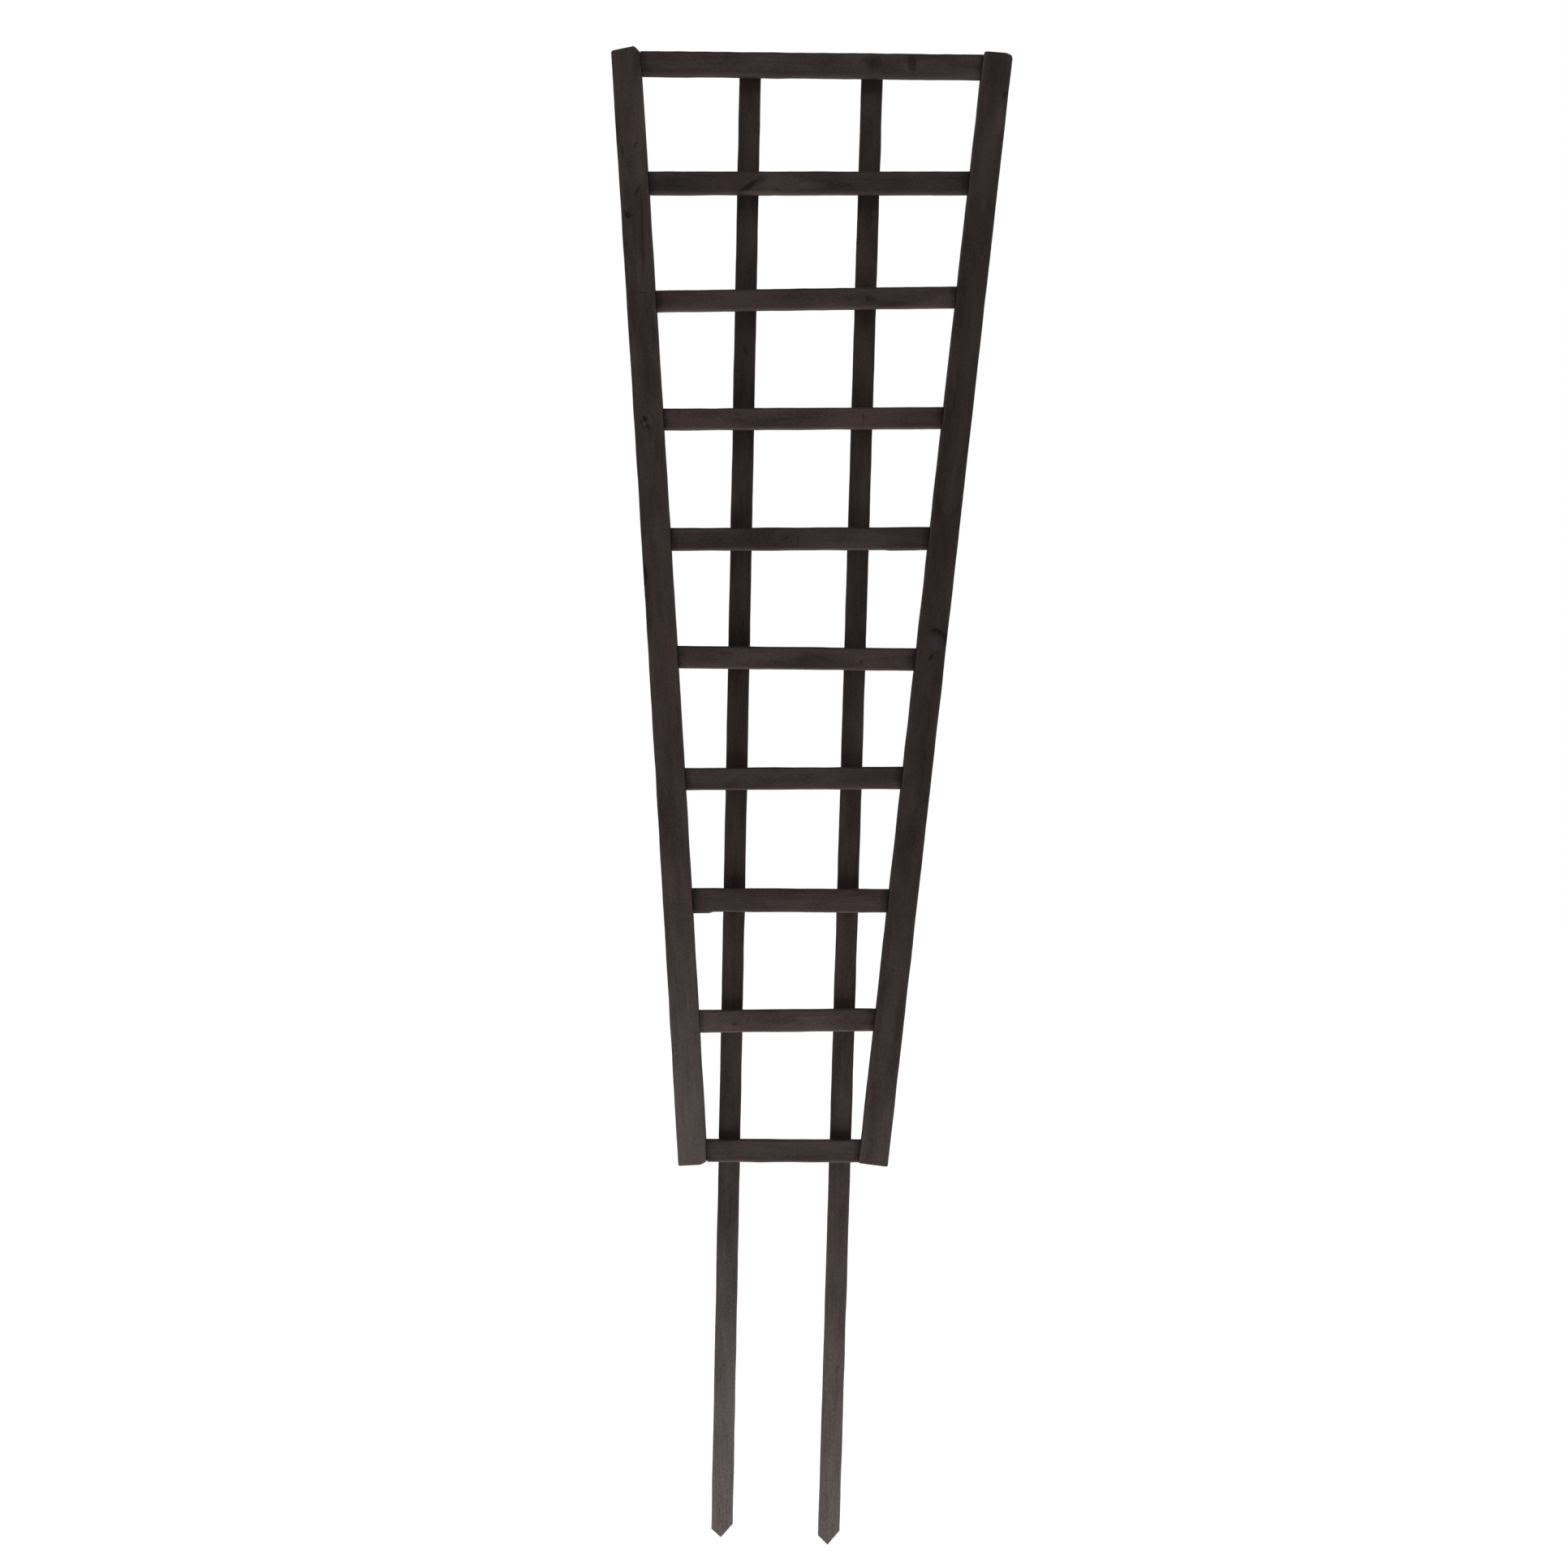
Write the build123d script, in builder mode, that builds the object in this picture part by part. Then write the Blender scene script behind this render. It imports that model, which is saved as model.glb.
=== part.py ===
from build123d import *
from math import atan2, cos, radians, sin
import os

# A fan-shaped garden trellis panel on two ground stakes. Two square stiles splay outwards
# as they rise. Ten rails run between them, set back from the stiles' front faces and nailed
# through the stiles into their end grain. Two long slats lie behind the rails, stapled to
# every rail from the back, and run on below the panel as pointed stakes.
#
# Millimetres and degrees. +Z is up and the front faces -Y. The origin is on the ground
# plane that the lower stake tip touches, under the middle of the whole object's width.

LEFT, RIGHT = -1, 1
SIDES = (LEFT, RIGHT)

# Panel outline
top_width = 484.0            # over the stiles' outer top corners
bottom_width = 252.0         # over the stiles' outer faces at their feet
side_lean = 35.0             # the panel's foot stands this far to the left of its top
stake_length = 461.0         # from the stiles' feet down to the lower stake tip

# Stiles
stile_width = 35.0
stile_depth = 35.0
stile_arris = 2.5            # eased long edges

# Rails, numbered 1 at the top to 10 at the bottom
rail_depth = 14.0
rail_setback = 6.0           # rail front behind stile front
rail_pitch = 144.0
foot_pitch = 157.0           # between the two lowest rails
foot_margin = 2.5            # bottom rail's lower edge above the stiles' feet
top_margin = 2.5             # top rail's upper edge below the stiles' tops
batten_arris = 2.0           # eased long edges of rails and slats

# Rough-sawn, hand-set rails: each one's height in section, how far it sits above an even
# spacing, and how far it is off level
rail_heights = (29.0, 27.0, 25.0, 25.5, 27.0, 27.0, 27.0, 28.5, 27.0, 27.0)
rail_lifts = (0, 2, 6, 6, 5, 5, 4, 1, 0, 0)
rail_tilts = (-0.6, 0, 0.8, 0.3, 0.2, -0.6, 0.3, -0.3, 0.5, -0.2)

# Stake slats
slat_width = 26.0
slat_depth = 14.0
slat_top_inset = 10.5        # a slat with no lift ends this far below the top rail's upper edge
slat_top_spacing = 148.0     # between centrelines at the panel's top
slat_foot_spacing = 134.0    # between centrelines at the stiles' feet
slat_lean = 33.0             # the slats' foot stands this far to the left of their top
slat_lifts = {LEFT: 9.0, RIGHT: 0.0}
point_flat = 3.0             # blunt end of the stake point
left_shoulder = 9.5          # height of the point's shorter cut
right_shoulder = 16.0        # height of the point's longer cut

# Nails, one through the stile into each end of each rail
nail_length = 55.0
nail_diameter = 2.8
nail_head_diameter = 6.0
nail_head_thickness = 1.0
nail_point = 4.0

# Staples, one at each crossing of slat and rail, driven from the back
staple_crown = 11.0
staple_wire = 1.3
staple_leg = 24.0
staple_chisel = 1.0
staple_drop = 7.0            # below the rail's centreline, clear of the rail's nail

# Places that follow from the sizes above
rail_count = len(rail_heights)
foot_rail_z = stake_length + foot_margin + rail_heights[-1] / 2
top_rail_z = foot_rail_z + foot_pitch + (rail_count - 2) * rail_pitch
panel_height = top_rail_z + rail_heights[0] / 2 + top_margin - stake_length
panel_top = stake_length + panel_height
slat_length = top_rail_z + rail_heights[0] / 2 - slat_top_inset
mean_splay = atan2((top_width - bottom_width) / 2, panel_height)
stile_length = panel_height / cos(mean_splay)
rail_y = -stile_depth / 2 + rail_setback + rail_depth / 2
slat_y = rail_y + (rail_depth + slat_depth) / 2
slat_back = slat_y + slat_depth / 2


def stile_plane(side):
    """Front view of a stile: origin at its outer top corner, x inwards, y up along it."""
    run = (top_width - bottom_width) / 2 + side * side_lean
    splay = atan2(run, panel_height)
    corner_z = stake_length + stile_length * cos(splay) - stile_width / 2 * sin(splay)
    return Plane(
        origin=(side * top_width / 2, 0, corner_z),
        x_dir=(-side * cos(splay), 0, sin(splay)),
        z_dir=(0, side, 0),
    )


def inner_face(side):
    """Plane of a stile's inner face at its top corner, facing the middle of the panel."""
    stile = stile_plane(side)
    return Plane(origin=stile.origin + stile.x_dir * stile_width, z_dir=stile.x_dir)


def rail_plane(number):
    """Front view of a rail: origin at the middle of its length, x along it."""
    tilt = radians(rail_tilts[number - 1])
    even = foot_rail_z if number == rail_count else top_rail_z - (number - 1) * rail_pitch
    height = even + rail_lifts[number - 1]
    axis_x = -side_lean * (panel_top - height) / panel_height
    return Plane(
        origin=(axis_x, rail_y, height), x_dir=(cos(tilt), 0, sin(tilt)), z_dir=(0, -1, 0)
    )


def slat_plane(side):
    """Front view of a slat: origin on its centreline at its lower end, y up along it."""
    slope = (slat_lean + side * (slat_top_spacing - slat_foot_spacing) / 2) / panel_height
    foot_x = side * slat_top_spacing / 2 - slope * (panel_top - slat_lifts[side])
    lean = atan2(slope, 1)
    return Plane(
        origin=(foot_x, slat_y, slat_lifts[side]),
        x_dir=(cos(lean), 0, -sin(lean)),
        z_dir=(0, -1, 0),
    )


def nail_places(side):
    """A nail's head on the stile's outer face, opposite the middle of each rail's end."""
    face = inner_face(side)
    places = []
    for number in range(1, rail_count + 1):
        rail = rail_plane(number)
        reach = (face.origin - rail.origin).dot(face.z_dir) / rail.x_dir.dot(face.z_dir)
        head = rail.origin + rail.x_dir * reach - face.z_dir * stile_width
        places.append(Plane(origin=head, x_dir=(0, 1, 0), z_dir=-face.z_dir))
    return places


def staple_places(side):
    """A staple's crown on the slat's back at each rail, with its legs towards the front."""
    slat = slat_plane(side)
    places = []
    for number in range(1, rail_count + 1):
        rail = rail_plane(number)
        reach = (rail.origin - slat.origin).dot(rail.y_dir) / slat.y_dir.dot(rail.y_dir)
        cross = slat.origin + slat.y_dir * (reach - staple_drop)
        places.append(
            Plane(origin=(cross.X, slat_back, cross.Z), x_dir=slat.x_dir, z_dir=-slat.y_dir)
        )
    return places


def finish(part, label):
    """Label a finished piece and write its STEP file."""
    part.label = label
    export_step(part, f"parts/{label}.step")


os.makedirs("parts", exist_ok=True)

# One nail, head up at the origin
with BuildPart() as nail:
    with BuildSketch(Plane.XZ):
        with BuildLine():
            Polyline(
                (0, 0),
                (nail_head_diameter / 2, 0),
                (nail_head_diameter / 2, -nail_head_thickness),
                (nail_diameter / 2, -nail_head_thickness),
                (nail_diameter / 2, nail_point - nail_length),
                (0, -nail_length),
                close=True,
            )
        make_face()
    revolve(axis=Axis.Z)

# One staple, the outside of its crown on the X axis and its legs towards +Y
half_crown = staple_crown / 2
half_gap = half_crown - staple_wire
with BuildPart() as staple:
    with BuildSketch():
        with BuildLine():
            Polyline(
                (-half_crown, 0),
                (half_crown, 0),
                (half_crown, staple_leg),
                (half_gap, staple_leg - staple_chisel),
                (half_gap, staple_wire),
                (-half_gap, staple_wire),
                (-half_gap, staple_leg - staple_chisel),
                (-half_crown, staple_leg),
                close=True,
            )
        make_face()
    extrude(amount=staple_wire / 2, both=True)

# Fasteners in their places, and the stiles and slats that they pass through
rail_nails = {}
slat_staples = {}
for side, name in ((LEFT, "left"), (RIGHT, "right")):
    with BuildPart() as nails:
        with Locations(*nail_places(side)):
            add(nail.part)
    rail_nails[side] = nails.part
    finish(nails.part, f"{name}_stile_nails")

    with BuildPart() as staples:
        with Locations(*staple_places(side)):
            add(staple.part)
    slat_staples[side] = staples.part
    finish(staples.part, f"{name}_slat_staples")

    with BuildPart() as stile:
        with BuildSketch(stile_plane(side)):
            Rectangle(stile_width, stile_length, align=(Align.MIN, Align.MAX))
        extrude(amount=stile_depth / 2, both=True)
        fillet(stile.edges().sort_by(SortBy.LENGTH)[-4:], stile_arris)
        add(rail_nails[side], mode=Mode.SUBTRACT)
    finish(stile.part, f"{name}_stile")

    with BuildPart() as slat:
        with BuildSketch(slat_plane(side)):
            with BuildLine():
                Polyline(
                    (-slat_width / 2, slat_length),
                    (slat_width / 2, slat_length),
                    (slat_width / 2, right_shoulder),
                    (0, 0),
                    (-point_flat, 0),
                    (-slat_width / 2, left_shoulder),
                    close=True,
                )
            make_face()
        extrude(amount=slat_depth / 2, both=True)
        fillet(slat.edges().sort_by(SortBy.LENGTH)[-4:], batten_arris)
        add(slat_staples[side], mode=Mode.SUBTRACT)
    finish(slat.part, f"{name}_slat")

# Rails, cut to the stiles' inner faces
for number in range(1, rail_count + 1):
    with BuildPart() as rail:
        with BuildSketch(rail_plane(number)):
            Rectangle(top_width + bottom_width, rail_heights[number - 1])
        extrude(amount=rail_depth / 2, both=True)
        fillet(rail.edges().sort_by(SortBy.LENGTH)[-4:], batten_arris)
        for side in SIDES:
            split(bisect_by=inner_face(side), keep=Keep.TOP)
            add(rail_nails[side], mode=Mode.SUBTRACT)
            add(slat_staples[side], mode=Mode.SUBTRACT)
    finish(rail.part, f"rail_{number}")
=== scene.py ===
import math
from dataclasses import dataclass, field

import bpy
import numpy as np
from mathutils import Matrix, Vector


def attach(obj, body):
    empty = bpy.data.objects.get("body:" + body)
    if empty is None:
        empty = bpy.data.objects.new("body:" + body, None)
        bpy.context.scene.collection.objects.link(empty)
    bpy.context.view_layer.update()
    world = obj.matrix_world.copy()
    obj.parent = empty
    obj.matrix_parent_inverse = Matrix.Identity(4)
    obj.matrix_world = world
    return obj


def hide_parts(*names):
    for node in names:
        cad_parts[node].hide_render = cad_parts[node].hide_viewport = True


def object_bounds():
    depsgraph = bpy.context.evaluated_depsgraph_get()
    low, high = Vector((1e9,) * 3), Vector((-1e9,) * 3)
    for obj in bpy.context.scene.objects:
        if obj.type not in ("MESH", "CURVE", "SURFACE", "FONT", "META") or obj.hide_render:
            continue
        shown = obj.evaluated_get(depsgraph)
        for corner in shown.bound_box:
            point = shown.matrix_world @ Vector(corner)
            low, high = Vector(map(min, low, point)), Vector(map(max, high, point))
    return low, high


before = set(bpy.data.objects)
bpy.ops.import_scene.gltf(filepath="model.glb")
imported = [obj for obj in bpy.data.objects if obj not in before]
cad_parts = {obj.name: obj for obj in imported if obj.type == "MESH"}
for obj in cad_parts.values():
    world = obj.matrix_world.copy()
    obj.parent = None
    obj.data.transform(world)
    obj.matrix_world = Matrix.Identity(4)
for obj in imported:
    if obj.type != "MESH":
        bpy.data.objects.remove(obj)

# A fan trellis in dark-stained, rough-sawn softwood: two stiles, ten rails and two stake slats, with
# the nails and staples that hold them. Each batten is built in its own frame, read from its CAD node:
# x runs across its front face, y towards the back and z along the grain. On a stile or slat x points
# right and z up. On a rail x points down and z right. Sizes are in millimetres until they become
# vertices.

cad_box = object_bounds()

MM = 0.001
RAILS = range(1, 11)
SIDES = ("left", "right")

# Half the range and the number of trials of each search for a batten's lean, in degrees
LEAN_SEARCHES = ((12.0, 961), (0.03, 241))

# The four corners of a batten's section, in the order that its outline is drawn
BACK_HIGH, BACK_LOW, FRONT_LOW, FRONT_HIGH = range(4)


# ---------------------------------------------------------------- reading battens from the frame


@dataclass
class Batten:
    """A straight batten's own axes and size, in millimetres."""

    node: str
    matrix: Matrix
    width: float
    depth: float
    length: float

    def axis(self, index):
        return self.matrix.to_3x3().col[index].normalized()


def read_batten(node, upright):
    """The frame of one CAD batten: its long axis is the one across which it is narrowest."""
    points = np.array([v.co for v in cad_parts[node].data.vertices])
    x, z = points[:, 0], points[:, 2]
    lean = 0.0
    for reach, count in LEAN_SEARCHES:
        leans = lean + np.radians(np.linspace(-reach, reach, count))
        if upright:
            across = np.outer(np.cos(leans), x) - np.outer(np.sin(leans), z)
        else:
            across = np.outer(np.sin(leans), x) - np.outer(np.cos(leans), z)
        lean = leans[np.ptp(across, axis=1).argmin()]
    sine, cosine = math.sin(lean), math.cos(lean)
    along = Vector((sine, 0, cosine)) if upright else Vector((cosine, 0, sine))
    side = Vector((cosine, 0, -sine)) if upright else Vector((sine, 0, -cosine))
    back = Vector((0, 1, 0))
    spans = [points @ np.array(axis) for axis in (side, back, along)]
    origin = side * float(spans[0].min() + spans[0].max()) / 2
    origin += back * float(spans[1].min() + spans[1].max()) / 2
    origin += along * float(spans[2].min())
    matrix = Matrix.Translation(origin) @ Matrix((side, back, along)).transposed().to_4x4()
    width, depth, length = (float(np.ptp(span)) / MM for span in spans)
    return Batten(node, matrix, width, depth, length)


stiles = {side: read_batten(f"{side}_stile", True) for side in SIDES}
slats = {side: read_batten(f"{side}_slat", True) for side in SIDES}
rails = {number: read_batten(f"rail_{number}", False) for number in RAILS}


# ---------------------------------------------------------------- timber shapes

LINE_WAVES = 6                # sines in a random line
SURFACE_WAVES = 8             # sines in a random surface
ARC_CELLS = 5                 # faces round each arris
FACE_CELL = 2.6               # width of the faces between two arrises
ARRIS_LINE = 0.025            # share of a face's width from an arris to the line beside it
CRACK_ROOM = 0.03             # no other line runs this near a crack's edges, as a share of the width
END_RINGS = np.array([0.0, 0.35, 1.1, 2.2])
END_REACH = 1.1               # how far the sawn ends' broken edges run
END_ROUNDING = 0.35
END_SHARES = 6                # a sawn end's slope fades out over one part in this many of the length
CRACK_TAPER = 14
CAP_STEPS = (0.93, 0.8, 0.62, 0.42, 0.2)
CAP_GRAIN = 0.07              # roughness of sawn end grain


def wobble(rng, places, wavelength, amount):
    """A smooth random line: a few sines of about one wavelength."""
    waves = wavelength * rng.uniform(0.55, 2.0, LINE_WAVES)
    phases = rng.uniform(0, 2 * math.pi, LINE_WAVES)
    total = sum(np.sin(2 * math.pi * places / w + p) for w, p in zip(waves, phases))
    return amount * total / math.sqrt(LINE_WAVES)


def ripple(rng, along, around, long_wave, cross_wave, amount):
    """A smooth random surface, longer along the grain than across it."""
    total = np.zeros(np.broadcast(along, around).shape)
    for _ in range(SURFACE_WAVES):
        phase = rng.uniform(0, 2 * math.pi)
        turn_along = along / (long_wave * rng.uniform(0.5, 2.0))
        turn_around = around / (cross_wave * rng.uniform(0.6, 2.0)) * rng.choice((-1, 1))
        total += np.sin(2 * math.pi * (turn_along + turn_around) + phase)
    return amount * total / math.sqrt(SURFACE_WAVES)


def ease(value):
    """Smooth step of a value held between 0 and 1."""
    held = np.clip(value, 0, 1)
    return held * held * (3 - 2 * held)


@dataclass
class Split:
    """A drying crack in the front face: where it runs, how wide and how deep."""

    across: float
    start: float
    end: float
    drift: float = 0.0
    width: float = 0.7
    depth: float = 1.4


@dataclass
class Form:
    """What makes one batten differ from a plain bar. Profiles are (place, value) pairs."""

    seed: int
    arris: float
    pitch: float = 4.0
    arris_swell: dict = field(default_factory=dict)
    edge_high: tuple = ((0, 0),)
    foot_profile: tuple = ((0, 0),)
    top_profile: tuple = ((0, 0),)
    bow: float = 0.0
    splits: tuple = ()
    point: dict = None


def profile(pairs, places):
    """Straight lines between (place, value) pairs, level beyond the outer two."""
    return np.interp(places, [p for p, _ in pairs], [v for _, v in pairs])


def side_fractions(length):
    """Where the lines of a face lie between its two arrises, with one close beside each arris."""
    cells = max(4, round(length / FACE_CELL))
    inner = [i / cells for i in range(1, cells)]
    return sorted({ARRIS_LINE, *inner, 1 - ARRIS_LINE})


def section(form, batten, rings):
    """Outline of every ring as [ring, place, xy], its outward directions, and each place's marks."""
    rng = np.random.default_rng(form.seed)
    half_width, half_depth = batten.width / 2, batten.depth / 2
    count = len(rings)
    low = -half_width + wobble(rng, rings, 90, 0.12)
    high = half_width + profile(form.edge_high, rings) + wobble(rng, rings, 90, 0.12)
    if form.point:
        low = np.maximum(low, form.point["low"](rings))
        high = np.minimum(high, form.point["high"](rings))
    front = -half_depth + wobble(rng, rings, 160, 0.08)
    back = half_depth + wobble(rng, rings, 160, 0.08)
    radii = np.empty((count, 4))
    flats = np.empty((count, 4))
    for corner in range(4):
        radius = form.arris + wobble(rng, rings, 45, 0.16 * form.arris)
        radius += wobble(rng, rings, 9, 0.05 * form.arris)
        radius += profile(form.arris_swell.get(corner, ((0, 0),)), rings)
        radii[:, corner] = np.clip(radius, 0.35, (high - low) * 0.45)
        flats[:, corner] = ease((radii[:, corner] - form.arris * 1.2) / (form.arris * 1.5)) * 0.75
    corners = ((high, back, 0), (low, back, 1), (low, front, 2), (high, front, 3))
    arcs, ways = [], []
    steps = np.linspace(0, 1, ARC_CELLS + 1)
    for corner, (edge_x, edge_y, quarter) in enumerate(corners):
        radius = radii[:, corner]
        centre_x = edge_x - radius * (1 if quarter in (0, 3) else -1)
        centre_y = edge_y - radius * (1 if quarter in (0, 1) else -1)
        angle = math.pi / 2 * (quarter + steps)
        way = np.stack([np.cos(angle), np.sin(angle)], axis=1)
        chord = way[0] + (way[-1] - way[0]) * steps[:, None]
        flat = flats[:, corner][:, None, None]
        shape = way * (1 - flat) + chord * flat
        centre = np.stack([centre_x, centre_y], axis=1)[:, None, :]
        arcs.append(centre + radius[:, None, None] * shape)
        ways.append(np.broadcast_to(way, (count, *way.shape)))
    face_lengths = (batten.width, batten.depth, batten.width, batten.depth)
    face_ways = ((0, 1), (-1, 0), (0, -1), (1, 0))
    outline, outward, arris_mark, split_mark = [], [], [], []
    for face in range(4):
        outline.append(arcs[face])
        outward.append(ways[face])
        arris_mark += [0.6, *[1.0] * (ARC_CELLS - 1), 0.6]
        split_mark += [0.0] * (ARC_CELLS + 1)
        cracks = {}
        if face == FRONT_LOW:
            for split in form.splits:
                for offset, weight in ((-1, 0.0), (0, 1.0), (1, 0.0)):
                    place = split.across + offset * split.width / 2
                    cracks[(place + half_width) / batten.width] = weight
        rims = [f for f in cracks if cracks[f] == 0.0]
        fractions = side_fractions(face_lengths[face])
        fractions = [f for f in fractions if all(abs(f - rim) > CRACK_ROOM for rim in rims)]
        fractions = np.array(sorted({*fractions, *cracks}))
        start, end = arcs[face][:, -1:, :], arcs[(face + 1) % 4][:, :1, :]
        outline.append(start + (end - start) * fractions[None, :, None])
        outward.append(np.broadcast_to(np.array(face_ways[face], float), (count, len(fractions), 2)))
        arris_mark += [0.0] * len(fractions)
        split_mark += [cracks.get(f, 0.0) for f in fractions]
    return (
        np.concatenate(outline, axis=1),
        np.concatenate(outward, axis=1),
        np.array(arris_mark),
        np.array(split_mark),
    )


def ring_places(form, batten):
    """Places of the rings along a batten, closer at its ends and at a stake's point."""
    margin = 4
    cells = max(2, round((batten.length - 2 * margin) / form.pitch))
    middle = np.linspace(margin, batten.length - margin, cells)
    rings = [*END_RINGS, *middle, *(batten.length - END_RINGS)]
    if form.point:
        rings = [r for r in rings if r > form.point["reach"] + 1] + form.point["rings"]
    for split in form.splits:
        rings += [split.start, split.end]
    return np.array(sorted(set(np.round(rings, 3))))


def timber(batten, form, cut_foot=None, cut_top=None):
    """One batten: a bar lofted along the grain, with eased arrises, uneven faces and sawn ends."""
    rng = np.random.default_rng(form.seed + 500)
    rings = ring_places(form, batten)
    outline, outward, arris_mark, split_mark = section(form, batten, rings)
    count, around = outline.shape[:2]
    steps = np.linalg.norm(np.diff(outline[count // 2], axis=0, append=outline[count // 2, :1]), axis=1)
    girth = np.concatenate([[0], np.cumsum(steps)[:-1]])
    loop = girth / steps.sum() * 2 * math.pi
    proud = ripple(rng, rings[:, None], np.zeros((1, around)), 70, 1, 0.05)
    for turns in (1, 2, 3):
        turn = np.sin(turns * loop[None, :] + wobble(rng, rings, 120, 1.4)[:, None])
        proud = proud + 0.05 * turn
    proud = proud + ripple(rng, rings[:, None], girth[None, :], 22, 11, 0.035)
    split_depth = np.zeros((count, around))
    for split in form.splits:
        run = ease((rings - split.start) / CRACK_TAPER) * ease((split.end - rings) / CRACK_TAPER)
        column = split_mark > 0.5
        split_depth[:, column] = run[:, None]
        proud[:, column] -= run[:, None] * split.depth
    near_end = ease(1 - (batten.length - rings) / END_REACH)
    if not form.point:
        near_end = ease(1 - rings / END_REACH) + near_end
    proud = proud - END_ROUNDING * near_end[:, None]
    outline = outline + outward * proud[..., None]
    for split in form.splits:
        crack_reach = 3.0
        follow = np.exp(-(((outline[..., 0] - split.across) / crack_reach) ** 2))
        follow *= outward[..., 1] < -0.9
        drift = split.drift * ease((rings - split.start) / (split.end - split.start))
        outline[..., 0] += follow * drift[:, None]
    bowed = form.bow * np.sin(math.pi * rings / batten.length)
    x, y = outline[..., 0], outline[..., 1]
    share = (rings / batten.length)[:, None]

    def foot_level(x, y):
        return profile(form.foot_profile, x) + (cut_foot(x, y) if cut_foot else 0)

    def top_level(x, y):
        return profile(form.top_profile, x) + (cut_top(x, y) if cut_top else batten.length)

    foot, top = foot_level(x, y), top_level(x, y)
    z = rings[:, None] + foot * ease(1 - share * END_SHARES)
    z = z + (top - batten.length) * ease(1 - (1 - share) * END_SHARES)
    if cut_foot:
        z = foot + (top - foot) * share
    points = np.stack([x + bowed[:, None], y, z], axis=2)

    verts = [points.reshape(-1, 3)]
    arris = [np.tile(arris_mark, count)]
    end_mark = [np.repeat(ease(near_end) * 0.7, around)]
    split_marks = [split_depth.reshape(-1)]
    faces = []
    place = np.arange(around)
    after = (place + 1) % around
    for ring in range(count - 1):
        here, there = ring * around, (ring + 1) * around
        faces.append(np.stack([here + place, here + after, there + after, there + place], axis=1))
    triangles = []
    total = count * around
    for ring, flip, level in ((0, True, foot_level), (count - 1, False, top_level)):
        edge = points[ring]
        centre = edge.mean(axis=0)
        centre[2] = level(centre[0], centre[1])
        outer = ring * around
        for shrink in CAP_STEPS:
            inner = centre + (edge - centre) * shrink
            inner[:, 2] = level(inner[:, 0], inner[:, 1]) + rng.normal(0, CAP_GRAIN, around)
            verts.append(inner)
            arris.append(np.zeros(around))
            end_mark.append(np.ones(around))
            split_marks.append(np.zeros(around))
            quad = np.stack([outer + place, outer + after, total + after, total + place], axis=1)
            faces.append(quad[:, ::-1] if flip else quad)
            outer = total
            total += around
        verts.append(centre[None, :])
        arris.append(np.zeros(1))
        end_mark.append(np.ones(1))
        split_marks.append(np.zeros(1))
        fan = np.stack([outer + place, outer + after, np.full(around, total)], axis=1)
        triangles.append(fan[:, ::-1] if flip else fan)
        total += 1

    mesh = bpy.data.meshes.new(batten.node)
    corners = np.concatenate(verts) * MM
    polygons = [list(map(int, f)) for f in np.concatenate(faces)]
    polygons += [list(map(int, f)) for f in np.concatenate(triangles)]
    mesh.from_pydata([tuple(map(float, c)) for c in corners], [], polygons)
    mesh.shade_smooth()
    for name, values in (("arris", arris), ("endgrain", end_mark), ("split", split_marks)):
        layer = mesh.attributes.new(name, "FLOAT", "POINT")
        layer.data.foreach_set("value", np.concatenate(values).astype(np.float32))
    piece = bpy.data.objects.new(f"{batten.node}.timber", mesh)
    bpy.context.scene.collection.objects.link(piece)
    piece.matrix_world = batten.matrix
    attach(piece, "root")
    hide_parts(batten.node)
    return piece


# ---------------------------------------------------------------- material building blocks


def srgb(red, green, blue):
    """A colour given as 8-bit sRGB, as the linear colour that shaders use."""
    shares = (red / 255, green / 255, blue / 255)
    linear = [c / 12.92 if c <= 0.04045 else ((c + 0.055) / 1.055) ** 2.4 for c in shares]
    return (*linear, 1.0)


def add(tree, kind, inputs=None, **settings):
    """A node with its settings, and its inputs given as numbers or as sockets to link."""
    made = tree.nodes.new(kind)
    for name, value in settings.items():
        setattr(made, name, value)
    for key, value in (inputs or {}).items():
        if isinstance(value, bpy.types.NodeSocket):
            tree.links.new(value, made.inputs[key])
        else:
            made.inputs[key].default_value = value
    return made


def maths(tree, operation, first, second=0.0, clamp=False):
    inputs = {0: first, 1: second}
    return add(tree, "ShaderNodeMath", inputs, operation=operation, use_clamp=clamp).outputs[0]


def vector_maths(tree, operation, first, second=(0, 0, 0)):
    inputs = {0: first, 1: second}
    return add(tree, "ShaderNodeVectorMath", inputs, operation=operation).outputs[0]


def scaled(tree, vector, scale):
    """A vector times a number."""
    inputs = {0: vector, "Scale": scale}
    return add(tree, "ShaderNodeVectorMath", inputs, operation="SCALE").outputs[0]


def length_of(tree, vector):
    return add(tree, "ShaderNodeVectorMath", {0: vector}, operation="LENGTH").outputs["Value"]


def blend(tree, amount, first, second, kind="MIX"):
    """Colour mix of two colours."""
    inputs = {0: amount, 6: first, 7: second}
    settings = {"data_type": "RGBA", "blend_type": kind, "clamp_factor": True}
    return add(tree, "ShaderNodeMix", inputs, **settings).outputs[2]


def ramp(tree, value, low, high, to_low=0.0, to_high=1.0, smooth=True):
    """The value's place between low and high, as one between to_low and to_high."""
    inputs = {0: value, 1: low, 2: high, 3: to_low, 4: to_high}
    kind = "SMOOTHSTEP" if smooth else "LINEAR"
    return add(tree, "ShaderNodeMapRange", inputs, interpolation_type=kind).outputs[0]


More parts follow.
